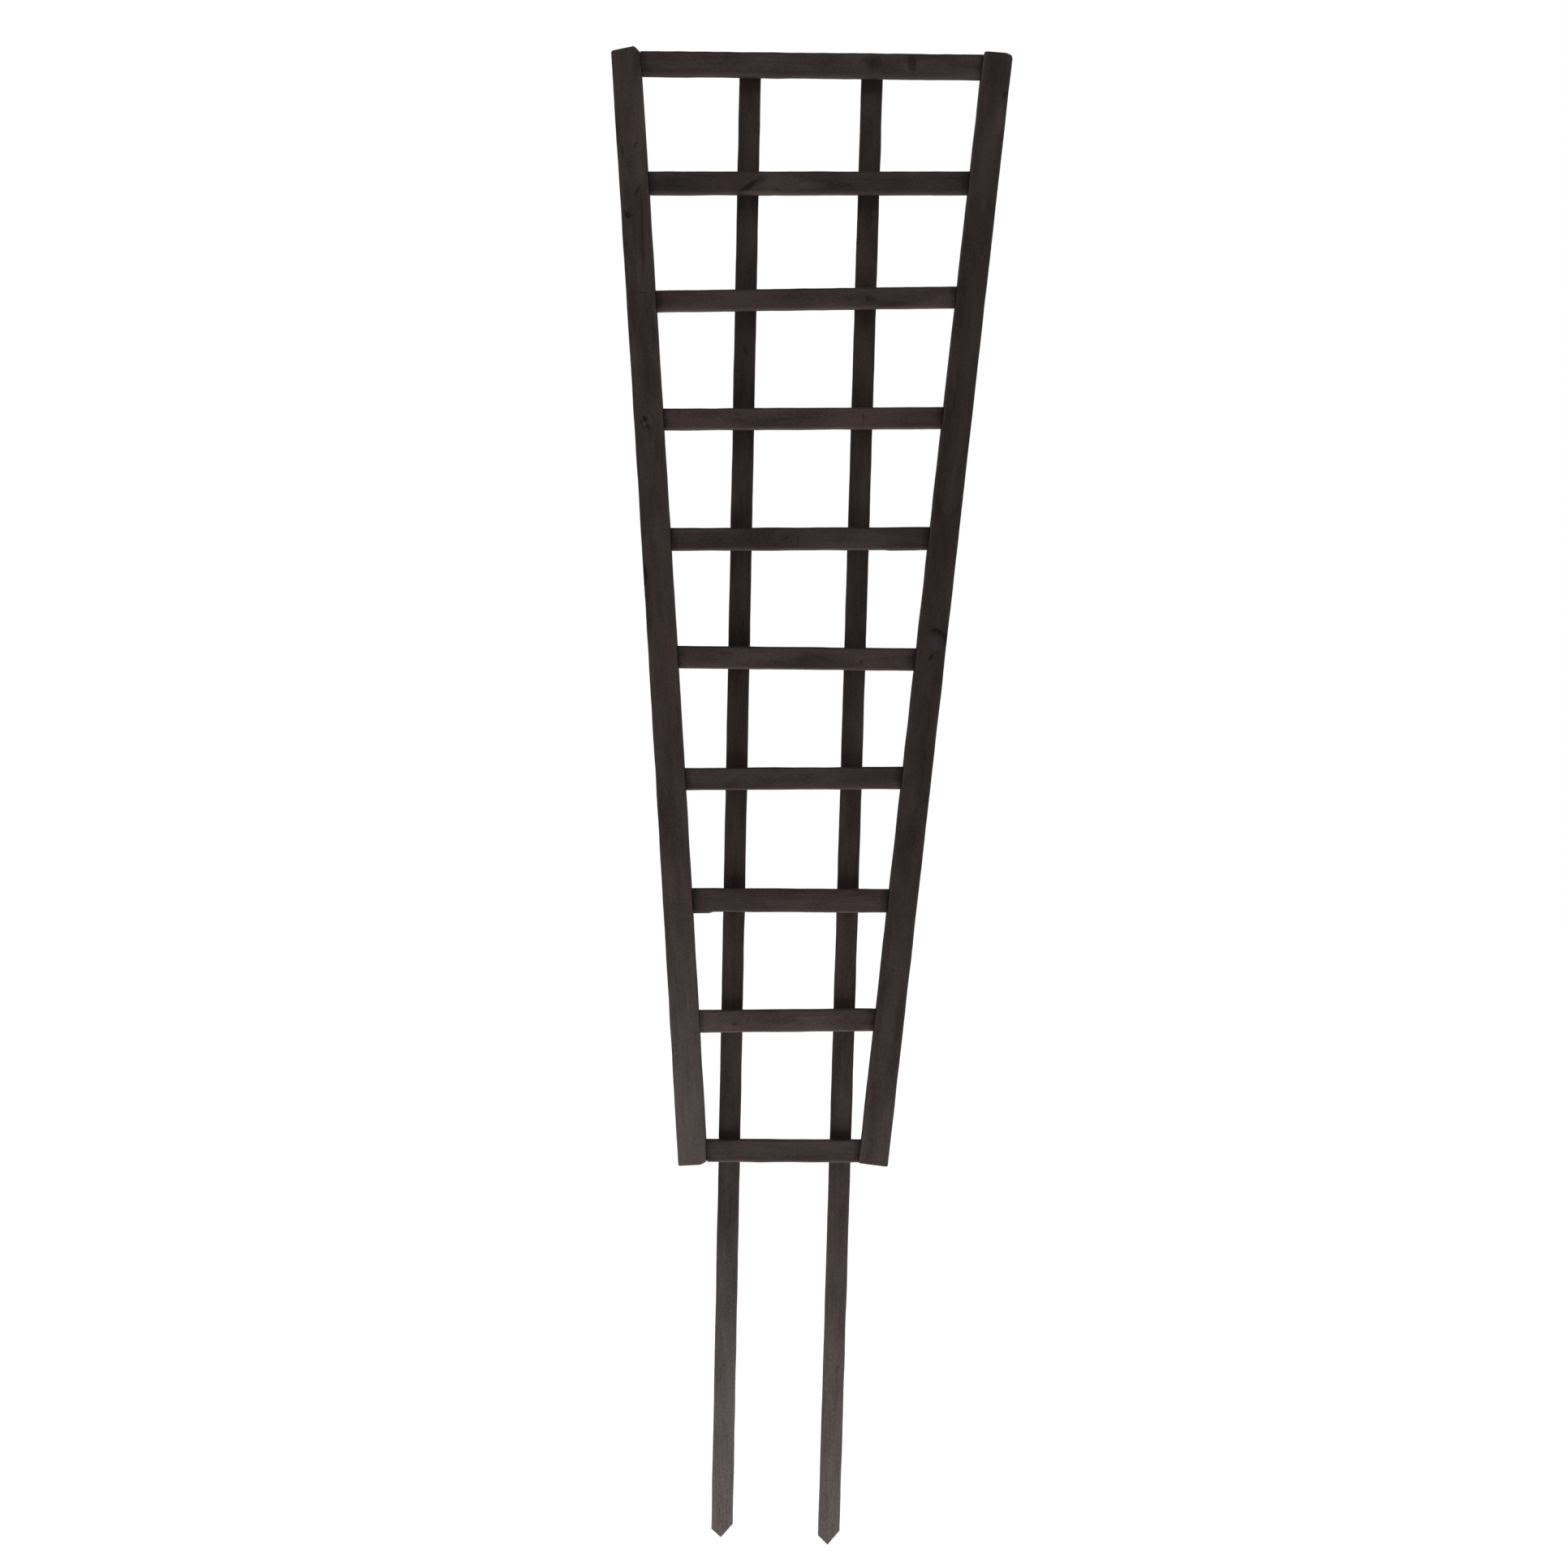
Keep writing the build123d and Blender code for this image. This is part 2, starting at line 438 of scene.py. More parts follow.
def noise(tree, vector, scale, detail=2.0, roughness=0.5):
    """Noise whose features are 1 / scale millimetres across, given a scale for each axis."""
    stretched = vector_maths(tree, "MULTIPLY", vector, scale)
    inputs = {"Vector": stretched, "Scale": 1.0, "Detail": detail, "Roughness": roughness}
    return add(tree, "ShaderNodeTexNoise", inputs)


def own_place(tree):
    """A place in the object's own frame, in millimetres."""
    return scaled(tree, add(tree, "ShaderNodeTexCoord").outputs["Object"], 1 / MM)


def new_material(name):
    """A node material with an empty tree, and the tree."""
    material = bpy.data.materials.new(name)
    material.use_nodes = True
    material.node_tree.nodes.clear()
    return material, material.node_tree


def surface(tree, inputs):
    """Make the principled shader the material's surface."""
    shader = add(tree, "ShaderNodeBsdfPrincipled", inputs)
    out = add(tree, "ShaderNodeOutputMaterial")
    tree.links.new(shader.outputs[0], out.inputs["Surface"])


def new_group(name, inputs, outputs):
    """An empty node group with its sockets, and its two end nodes."""
    group = bpy.data.node_groups.new(name, "ShaderNodeTree")
    for label, kind in inputs:
        group.interface.new_socket(label, in_out="INPUT", socket_type=kind)
    for label, kind in outputs:
        group.interface.new_socket(label, in_out="OUTPUT", socket_type=kind)
    return group, group.nodes.new("NodeGroupInput"), group.nodes.new("NodeGroupOutput")


VECTOR, FLOAT = "NodeSocketVector", "NodeSocketFloat"


FIGURE_PARTS = ("Ring", "Fibre", "Speckle", "Blotch", "Hue", "Fine")
MID_GREY = (0.5, 0.5, 0.5)


def figure_group():
    """The figure of sawn softwood: rings round a far-off pith, fibres, pores and uneven stain."""
    group, given, result = new_group(
        "Softwood figure",
        (("Place", VECTOR), ("Pith", VECTOR)),
        tuple((label, FLOAT) for label in FIGURE_PARTS),
    )
    place, pith = given.outputs["Place"], given.outputs["Pith"]
    drift = noise(group, place, (0.018, 0.018, 0.0035), 2.0).outputs["Color"]
    drift = vector_maths(group, "SUBTRACT", drift, MID_GREY)
    drift = vector_maths(group, "MULTIPLY", drift, (16, 16, 0))
    from_pith = vector_maths(group, "ADD", vector_maths(group, "SUBTRACT", place, pith), drift)
    distance = length_of(group, vector_maths(group, "MULTIPLY", from_pith, (1, 1, 0)))
    rings_per_mm = 0.42
    unevenness = 2.2
    inputs = {"W": distance, "Scale": 0.23, "Detail": 1.0}
    uneven = add(group, "ShaderNodeTexNoise", inputs, noise_dimensions="1D").outputs[0]
    even_count = maths(group, "MULTIPLY", distance, rings_per_mm)
    ring_count = maths(group, "ADD", even_count, maths(group, "MULTIPLY", uneven, unevenness))
    phase = maths(group, "FRACT", ring_count)
    rise = ramp(group, phase, 0.25, 0.86)
    fall = ramp(group, phase, 0.9, 1.0, 1.0, 0.0)
    group.links.new(maths(group, "MULTIPLY", rise, fall), result.inputs["Ring"])
    fields = (
        ("Fibre", (1.1, 1.1, 0.028), 4.0, 0.6),
        ("Speckle", (0.66, 0.66, 0.42), 3.0, 0.7),
        ("Blotch", (0.055, 0.055, 0.013), 4.0, 0.55),
        ("Hue", (0.10, 0.10, 0.05), 3.0, 0.6),
        ("Fine", (2.6, 2.6, 0.35), 2.0, 0.6),
    )
    for index, (label, scale, detail, roughness) in enumerate(fields):
        shifted = vector_maths(group, "ADD", place, (37.0 * index, 11.0, 53.0 * index))
        group.links.new(noise(group, shifted, scale, detail, roughness).outputs[0], result.inputs[label])
    return group


def mark_group():
    """How far a place is from a mark's centre, where 1 is its rim, and the grain parted round it."""
    group, given, result = new_group(
        "Mark",
        (
            ("Place", VECTOR),
            ("Centre", VECTOR),
            ("Turn", FLOAT),
            ("Half size", VECTOR),
            ("Lean", FLOAT),
            ("Bend", FLOAT),
        ),
        (("Distance", FLOAT), ("Shift", VECTOR)),
    )
    place = given.outputs["Place"]
    away = vector_maths(group, "SUBTRACT", place, given.outputs["Centre"])
    split = add(group, "ShaderNodeSeparateXYZ", {0: away})
    leant = maths(group, "MULTIPLY", split.outputs[1], given.outputs["Lean"])
    slid = maths(group, "SUBTRACT", split.outputs[2], leant)
    level = add(group, "ShaderNodeCombineXYZ", {0: split.outputs[0], 1: 0.0, 2: slid}).outputs[0]
    inputs = {"Vector": level, "Axis": (0, 1, 0), "Angle": given.outputs["Turn"]}
    turned = add(group, "ShaderNodeVectorRotate", inputs).outputs[0]
    sized = vector_maths(group, "DIVIDE", turned, given.outputs["Half size"])
    ragged = noise(group, place, (0.3, 0.3, 0.3), 3.0, 0.6).outputs["Color"]
    ragged = vector_maths(group, "SUBTRACT", ragged, MID_GREY)
    ragged = vector_maths(group, "MULTIPLY", ragged, (0.7, 0, 0.7))
    distance = length_of(group, vector_maths(group, "ADD", sized, ragged))
    group.links.new(distance, result.inputs["Distance"])
    reach = length_of(group, sized)
    fall = maths(group, "MULTIPLY", maths(group, "MULTIPLY", reach, reach), -0.35)
    pull = maths(group, "MULTIPLY", maths(group, "EXPONENT", fall), given.outputs["Bend"])
    sideways = add(group, "ShaderNodeCombineXYZ", {0: split.outputs[0], 1: 0.0, 2: 0.0}).outputs[0]
    group.links.new(scaled(group, sideways, pull), result.inputs["Shift"])
    return group


@dataclass
class Mark:
    """A knot, resin streak or stain on a batten's front face, turned clockwise by turn in degrees.

    Rings is how many dark rings it has out to its rim. Bend is how far the grain parts round it,
    and lean is how far it slides along the batten for each millimetre of depth.
    """

    along: float
    across: float
    half_length: float
    half_width: float
    colour: tuple
    strength: float = 0.8
    turn: float = 0.0
    soft: float = 0.5
    rings: float = 0.0
    bend: float = 0.0
    lean: float = 0.3


@dataclass
class Look:
    """One batten's stain: its shade, which on the slats is partly painted shade, its pith's place and
    its marks, then how pale it goes towards its foot, partly from weathering and partly as painted
    light from the floor, and how much painted shade it has at its two ends and its upper edge, with
    a painted highlight along its lower edge.
    """

    seed: int
    pith: tuple
    shade: float = 1.0
    warmth: float = 0.5
    marks: tuple = ()
    pale_foot: float = 0.0
    pale_reach: float = 400.0
    ends: float = 0.0
    upper_edge_shade: float = 0.0


SOOT = srgb(16, 11, 13)
DARK = srgb(28, 18, 19)
RUST = srgb(42, 22, 20)
UMBER = srgb(40, 27, 26)
PLUM = srgb(36, 29, 34)
NIGHT = srgb(26, 22, 28)
TAN = srgb(82, 70, 63)
RUSSET = srgb(66, 42, 38)
SLATE = srgb(56, 58, 62)
ASH = srgb(58, 51, 50)
OCHRE = srgb(92, 72, 52)

# The stain itself, what wear and the saw do to it, and the painted light and shade laid on it
STAIN_DEEP = srgb(32, 23, 22)
STAIN_THIN = srgb(73, 61, 58)
WARM_TINT = (1.07, 1.02, 0.91, 1)
COOL_TINT = (1.04, 0.9, 1.03, 1)
# Worn arris, partly a painted highlight
ARRIS_WEAR_AND_HIGHLIGHT = srgb(80, 67, 63)
# Painted shade at the rails' ends
PAINTED_END_SHADE = srgb(20, 15, 16)
# Weathered foot, partly painted light from the floor
WEATHERED_AND_FLOOR_LIT_FOOT = srgb(94, 89, 86)
# Painted shade on a rail's upper edge, and a painted highlight on its lower edge
SHADED_EDGE = srgb(22, 17, 19)
PAINTED_LOWER_HIGHLIGHT = srgb(92, 78, 74)
END_DEEP = srgb(22, 16, 16)
END_THIN = srgb(48, 38, 35)
CRACK_SHADE = srgb(14, 10, 11)

figure_tree = figure_group()
mark_tree = mark_group()


def timber_material(batten, look):
    """Dark brown stain on softwood: figure, marks, arrises paler from wear and a painted highlight,
    thirsty end grain and cracks, and painted shade and light at the ends, the edges and the foot.
    """
    material, tree = new_material(f"{batten.node}_stain")
    place = own_place(tree)

    grain_place = place
    distances = []
    for mark in look.marks:
        inputs = {
            "Place": place,
            "Centre": (mark.across, -batten.depth / 2, mark.along),
            "Turn": math.radians(-mark.turn),
            "Half size": (mark.half_width, 1.0, mark.half_length),
            "Lean": mark.lean,
            "Bend": mark.bend,
        }
        made = add(tree, "ShaderNodeGroup", inputs, node_tree=mark_tree)
        distances.append(made.outputs["Distance"])
        if mark.bend:
            grain_place = vector_maths(tree, "SUBTRACT", grain_place, made.outputs["Shift"])

    seeded = vector_maths(tree, "ADD", grain_place, (0.0, 0.0, 2000.0 * look.seed))
    inputs = {"Place": seeded, "Pith": (*look.pith, 0.0)}
    figure = add(tree, "ShaderNodeGroup", inputs, node_tree=figure_tree)
    ring, fibre, speckle, blotch, hue, fine = (figure.outputs[label] for label in FIGURE_PARTS)

    tone = maths(tree, "MULTIPLY", maths(tree, "SUBTRACT", ring, 0.4), 0.06)
    for source, weight in ((fibre, 0.25), (speckle, 0.9), (blotch, 1.2), (fine, 0.4)):
        difference = maths(tree, "SUBTRACT", source, 0.5)
        tone = maths(tree, "ADD", tone, maths(tree, "MULTIPLY", difference, weight))
    tone = maths(tree, "ADD", tone, 0.5, clamp=True)
    colour = blend(tree, tone, STAIN_DEEP, STAIN_THIN)
    warm = ramp(tree, hue, 0.48, 0.7, 0.0, look.warmth)
    colour = blend(tree, warm, colour, blend(tree, 1.0, colour, WARM_TINT, "MULTIPLY"))
    cool = ramp(tree, hue, 0.5, 0.32, 0.0, 0.9)
    colour = blend(tree, cool, colour, blend(tree, 1.0, colour, COOL_TINT, "MULTIPLY"))
    if look.shade != 1.0:
        colour = blend(tree, 1.0, colour, (look.shade, look.shade, look.shade, 1), "MULTIPLY")

    def attribute(name):
        return add(tree, "ShaderNodeAttribute", attribute_name=name).outputs["Fac"]

    arris, end, split = attribute("arris"), attribute("endgrain"), attribute("split")
    # Paler arrises: partly worn edges, partly a painted highlight
    broken = ramp(tree, fibre, 0.4, 0.68, 0.05, 0.5)
    worn_and_lit_arris = maths(tree, "MULTIPLY", ramp(tree, arris, 0.3, 1.0), broken)
    colour = blend(tree, worn_and_lit_arris, colour, ARRIS_WEAR_AND_HIGHLIGHT)

    spread = add(tree, "ShaderNodeSeparateXYZ", {0: place})
    across, inward, along = spread.outputs
    front = -batten.depth / 2
    near_front = ramp(tree, inward, 4 + front, 14 + front, 1.0, 0.3)
    for mark, distance in zip(look.marks, distances):
        inside = ramp(tree, distance, 1 + mark.soft / 2, 1 - mark.soft, 0.0, mark.strength)
        inside = maths(tree, "MULTIPLY", inside, ramp(tree, speckle, 0.3, 0.7, 1.0, 0.8))
        inside = maths(tree, "MULTIPLY", inside, near_front)
        if mark.rings:
            wave = maths(tree, "SINE", maths(tree, "MULTIPLY", distance, mark.rings * 2 * math.pi))
            inside = maths(tree, "MULTIPLY", inside, ramp(tree, wave, -0.8, 0.8, 0.45, 1.0))
        colour = blend(tree, inside, colour, mark.colour)

    # Painted shade at both ends of a rail, where the stiles stand proud in front of it
    if look.ends:
        from_end = maths(tree, "MINIMUM", along, maths(tree, "SUBTRACT", batten.length, along))
        uneven = maths(tree, "MULTIPLY", maths(tree, "SUBTRACT", blotch, 0.5), 20.0)
        from_end = maths(tree, "ADD", from_end, uneven)
        end_shade = ramp(tree, from_end, 13.0, 1.0, 0.0, look.ends)
        colour = blend(tree, end_shade, colour, PAINTED_END_SHADE)
    # Paler towards the foot: partly weathered timber, partly painted light from the bright floor
    if look.pale_foot:
        low = ramp(tree, along, look.pale_reach, 0.0, 0.0, look.pale_foot)
        half_speckle = maths(tree, "MULTIPLY", speckle, 0.5)
        streaky = maths(tree, "ADD", half_speckle, maths(tree, "MULTIPLY", fibre, 0.5))
        patchy = maths(tree, "MULTIPLY", low, ramp(tree, streaky, 0.35, 0.65, 0.6, 1.4))
        colour = blend(tree, patchy, colour, WEATHERED_AND_FLOOR_LIT_FOOT)

    # Painted shade along a rail's upper edge and a painted highlight along its lower edge, as if lit
    # mostly from below
    if look.upper_edge_shade:
        half = batten.width / 2
        upper = ramp(tree, across, 2.6 - half, 1.2 - half, 0.0, look.upper_edge_shade)
        colour = blend(tree, upper, colour, SHADED_EDGE)
        lower = ramp(tree, across, half - 4.5, half - 1.5, 0.0, 0.22)
        colour = blend(tree, lower, colour, PAINTED_LOWER_HIGHLIGHT)
    end_colour = blend(tree, ring, END_DEEP, END_THIN)
    colour = blend(tree, maths(tree, "MULTIPLY", end, 0.8), colour, end_colour)
    colour = blend(tree, maths(tree, "MULTIPLY", split, 0.6), colour, CRACK_SHADE)

    height = maths(tree, "MULTIPLY", ring, 0.2)
    for source, weight in ((fibre, 0.7), (speckle, 0.7), (fine, 0.5)):
        height = maths(tree, "ADD", height, maths(tree, "MULTIPLY", source, weight))
    inputs = {"Strength": 0.6, "Distance": 0.0005, "Height": height}
    bump = add(tree, "ShaderNodeBump", inputs).outputs[0]
    rough = ramp(tree, tone, 0.2, 0.8, 0.86, 0.66)
    surface(
        tree,
        {"Base Color": colour, "Roughness": rough, "Normal": bump, "Specular IOR Level": 0.2},
    )
    return material


# ---------------------------------------------------------------- fasteners


def loose_groups(node, gap=20.0):
    """A CAD node's vertices in groups, one for each fastener, from the lowest to the highest."""
    points = np.array([v.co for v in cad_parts[node].data.vertices])
    points = points[points[:, 2].argsort()]
    breaks = np.nonzero(np.diff(points[:, 2]) > gap * MM)[0] + 1
    return np.split(points, breaks)


def mesh_piece(name, node, verts, faces):
    mesh = bpy.data.meshes.new(name)
    mesh.from_pydata(verts, [], faces)
    mesh.shade_smooth()
    piece = bpy.data.objects.new(name, mesh)
    bpy.context.scene.collection.objects.link(piece)
    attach(piece, "root")
    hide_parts(node)
    return piece


NAIL_TURNS = 20               # corners round a nail and round a staple's wire
WIRE_TURNS = 10
SHANK_RADIUS = 1.4
STAPLE_PROUD = 0.6            # keeps a staple's crown clear of the slat's uneven back
STAPLE_BEND = 1.0
BEND_STEPS = 5


def nail_verts(head, inward, length, head_radius, shank_radius, turns):
    """A nail turned about its axis: a shallow dished head, grip rings below it and a point."""
    lines = [(0.0, -0.12), (head_radius * 0.62, -0.1), (head_radius * 0.8, -0.02)]
    lines += [(head_radius * 0.94, -0.05), (head_radius, 0.22), (head_radius * 0.97, 0.75)]
    lines += [(shank_radius * 1.35, 1.05), (shank_radius, 1.6)]
    for groove in range(6):
        lines += [(shank_radius * 1.03, 3.0 + groove * 1.6), (shank_radius * 0.93, 3.7 + groove * 1.6)]
    lines += [(shank_radius, 13.5), (shank_radius, length - 4.0)]
    lines += [(shank_radius * 0.45, length - 1.2), (0.02, length)]
    across = inward.orthogonal().normalized()
    other = inward.cross(across)
    verts = []
    for radius, depth in lines:
        for turn in range(turns):
            angle = 2 * math.pi * turn / turns
            way = across * math.cos(angle) + other * math.sin(angle)
            verts.append(head + inward * depth * MM + way * radius * MM)
    return verts, len(lines)


def bow_at(side, spot):
    """How far a stile's bow carries it along its own x axis, at the height of a spot."""
    stile = stiles[side]
    rise = (spot - stile.matrix.translation).dot(stile.axis(2))
    return stile_forms[side].bow * math.sin(math.pi * rise / (stile.length * MM))


def make_nails(side):
    """Ten nails in one piece, each laid on its CAD nail and carried with its stile's bow."""
    node = f"{side}_stile_nails"
    turns = NAIL_TURNS
    verts, faces = [], []
    for points in loose_groups(node):
        sign = 1 if side == "left" else -1
        stile_axis = stiles[side].axis(0) * sign
        reach = points @ np.array(stile_axis)
        top = points[reach < reach.min() + 0.05 * MM]
        head = Vector((top.min(axis=0) + top.max(axis=0)) / 2)
        head += stiles[side].axis(0) * (bow_at(side, head) * MM)
        length = float(np.ptp(reach)) / MM
        radius = float(np.ptp(top[:, 1])) / 2 / MM
        made, count = nail_verts(head, stile_axis, length, radius, SHANK_RADIUS, turns)
        base = len(verts)
        verts += [tuple(v) for v in made]
        for line in range(count - 1):
            for turn in range(turns):
                a = base + line * turns + turn
                b = base + line * turns + (turn + 1) % turns
                faces.append((a, b, b + turns, a + turns))
        faces.append(tuple(base + (count - 1) * turns + t for t in range(turns)))
        faces.append(tuple(base + t for t in reversed(range(turns))))
    return mesh_piece(f"{node}.steel", node, verts, faces)


def make_staples(side):
    """Ten staples in one piece: rounded wire with bent shoulders and chisel ends."""
    node = f"{side}_slat_staples"
    verts, faces = [], []
    along = slats[side].axis(2)
    across = slats[side].axis(0)
    back = Vector((0, 1, 0))
    for points in loose_groups(node):
        flat = points @ np.array(across)
        up = points @ np.array(along)
        crown = float(np.ptp(flat)) / MM
        wire = float(np.ptp(up)) / MM
        leg = float(np.ptp(points[:, 1])) / MM
        centre = across * float(flat.min() + flat.max()) / 2
        centre += along * float(up.min() + up.max()) / 2
        centre += back * (float(points[:, 1].max()) + STAPLE_PROUD * MM)
        half = crown / 2 - wire / 2
        bend = STAPLE_BEND
        route = [(-half, -leg), (-half, -leg + 1.0), (-half, -wire / 2 - bend)]
        for step in range(1, BEND_STEPS):
            angle = math.pi / 2 * step / BEND_STEPS
            bend_x = -half + bend * (1 - math.cos(angle))
            route.append((bend_x, -wire / 2 - bend * (1 - math.sin(angle))))
        route += [(-half + bend, -wire / 2), (-half * 0.3, -wire / 2 - 0.04)]
        route += [(-x, y) for x, y in reversed(route)]
        base = len(verts)
        turns = WIRE_TURNS
        for index, (x, y) in enumerate(route):
            ahead = route[min(index + 1, len(route) - 1)]
            behind = route[max(index - 1, 0)]
            way = Vector((ahead[0] - behind[0], ahead[1] - behind[1])).normalized()
            thin = 0.25 if index in (0, len(route) - 1) else 1.0
            for turn in range(turns):
                angle = 2 * math.pi * turn / turns
                square = 1 / max(abs(math.cos(angle)), abs(math.sin(angle)))
                radius = wire / 2 * (0.55 + 0.45 * min(square, 1.25))
                side_way = math.cos(angle) * radius * thin
                spot = centre + across * ((x - way.y * side_way) * MM)
                spot += back * ((y + way.x * side_way) * MM)
                verts.append(tuple(spot + along * (math.sin(angle) * radius * MM)))
        for line in range(len(route) - 1):
            for turn in range(turns):
                a = base + line * turns + turn
                b = base + line * turns + (turn + 1) % turns
                faces.append((a, a + turns, b + turns, b))
        faces.append(tuple(base + t for t in range(turns)))
        faces.append(tuple(base + (len(route) - 1) * turns + t for t in reversed(range(turns))))
    return mesh_piece(f"{node}.steel", node, verts, faces)


def steel_material():
    """Galvanised wire: dull spangled zinc, scratched, a little rusty and smeared with stain."""
    material, tree = new_material("galvanised_wire")
    place = own_place(tree)
    cells = add(tree, "ShaderNodeTexVoronoi", {"Vector": place, "Scale": 1.1}).outputs["Color"]
    spangle = add(tree, "ShaderNodeSeparateColor", {0: cells}).outputs[0]
    smear = noise(tree, place, (0.5, 0.5, 0.5), 4.0, 0.65).outputs[0]
    elsewhere = vector_maths(tree, "ADD", place, (40, 0, 0))
    rust = noise(tree, elsewhere, (0.28, 0.28, 0.28), 4.0, 0.7).outputs[0]
    scratch = noise(tree, place, (6.0, 0.8, 6.0), 2.0).outputs[0]
    colour = blend(tree, spangle, srgb(112, 112, 112), srgb(150, 150, 148))
    rusty = ramp(tree, rust, 0.52, 0.66)
    stained = ramp(tree, smear, 0.42, 0.6)
    colour = blend(tree, rusty, colour, srgb(96, 58, 36))
    colour = blend(tree, maths(tree, "MULTIPLY", stained, 0.85), colour, srgb(44, 34, 32))
    metal = maths(tree, "SUBTRACT", 1.0, maths(tree, "MAXIMUM", rusty, stained), clamp=True)
    bare = ramp(tree, spangle, 0.0, 1.0, 0.38, 0.52)
    rough = maths(tree, "ADD", bare, maths(tree, "MULTIPLY", rusty, 0.35), clamp=True)
    height = maths(tree, "ADD", maths(tree, "MULTIPLY", scratch, 0.4), smear)
    inputs = {"Strength": 0.4, "Distance": 0.0002, "Height": height}
    bump = add(tree, "ShaderNodeBump", inputs).outputs[0]
    surface(tree, {"Base Color": colour, "Metallic": metal, "Roughness": rough, "Normal": bump})
    return material


# ---------------------------------------------------------------- each batten's form and look


def stake_point(batten, low_shoulder, high_shoulder, tip, roundness, rng_seed):
    """Outlines of a stake's sawn point, with a blunt tip and slightly broken edges."""
    half = batten.width / 2
    middle = (tip[0] + tip[1]) / 2
    beyond = half + 5

    def nose(rings):
        """Half the width of the rounded tip."""
        return np.sqrt(2 * roundness * np.maximum(rings, 0)) + 1.3 * rings + 0.05

    def ragged(rings, shoulder, seed):
        """The broken edge of one cut, from just above the tip to just above its shoulder."""
        wave = wobble(np.random.default_rng(seed), rings, 3.2, 1.0)
        return 0.35 * ease((shoulder + 1 - rings) / 3) * wave * (rings > 0.5)

    def low(rings):
        line = tip[0] - (half + tip[0]) * rings / low_shoulder
        cut = np.maximum(line, middle - nose(rings)) + ragged(rings, low_shoulder, rng_seed)
        return np.where(rings < low_shoulder, cut, -beyond)

    def high(rings):
        line = tip[1] + (half - tip[1]) * rings / high_shoulder
        cut = np.minimum(line, middle + nose(rings)) + ragged(rings, high_shoulder, rng_seed + 1)
        return np.where(rings < high_shoulder, cut, beyond)

    reach = max(low_shoulder, high_shoulder)
    tip_places = (0.0, 0.15, 0.4, 0.8)
    places = sorted({*tip_places, *np.arange(1.4, reach + 1, 0.9), low_shoulder, high_shoulder})
    return {"low": low, "high": high, "reach": reach, "rings": places}


stile_forms = {
    "left": Form(
        seed=11,
        arris=2.4,
        bow=1.2,
        arris_swell={
            FRONT_HIGH: (
                (0, 5.8), (60, 5.2), (180, 3.2), (340, 0), (1300, 0), (1322, 3.0), (1347, 6.0),
            ),
            FRONT_LOW: ((0, 0.3), (600, 0), (1347, 0.3)),
        },
        foot_profile=((-17.5, 0.8), (-15.5, 0.0), (-3, -0.1), (9.5, -0.1), (13, 0.9), (17.5, 3.2)),
        top_profile=((-17.5, -4.6), (-15.5, -3.1), (10.5, 0.6), (12.5, -0.6), (17.5, -5.2)),
        splits=(Split(across=5.6, start=1076, end=1180, drift=3.2, width=0.4, depth=0.3),),
    ),
    "right": Form(
        seed=12,
        arris=2.4,
        foot_profile=((-17.5, 0.4), (14, -0.2), (17.5, 0.5)),
        top_profile=((-17.5, -3.6), (-15.8, -1.2), (-12, -0.6), (9.5, 0.0), (15.5, -1.9), (17.5, -4.8)),
        splits=(Split(across=-6.0, start=905, end=968, drift=1.2, width=0.5, depth=0.7),),
    ),
}

slat_forms = {
    "left": Form(
        seed=21,
        arris=1.9,
        pitch=3.5,
        point=stake_point(slats["left"], 9.0, 15.5, (-2.6, -0.4), 3.2, 71),
        arris_swell={FRONT_HIGH: ((0, 0.2), (700, 0))},
    ),
    "right": Form(
        seed=22,
        arris=1.9,
        pitch=3.5,
        point=stake_point(slats["right"], 10.2, 16.2, (-2.4, -0.2), 1.4, 72),
        splits=(Split(across=1.8, start=600, end=655, drift=0.8, width=0.5, depth=0.6),),
    ),
}

rail_forms = {number: Form(seed=30 + number, arris=1.9, pitch=3.0) for number in RAILS}
rail_forms[8].edge_high = ((0, 1.9), (21.5, 1.7), (23.5, 0))
rail_forms[5].edge_high = ((0, 0), (262, 0), (268, 0.7), (300, 0.5), (306, 0))
rail_forms[2].splits = (Split(across=-4.0, start=246, end=302, drift=1.0, width=0.5, depth=0.6),)
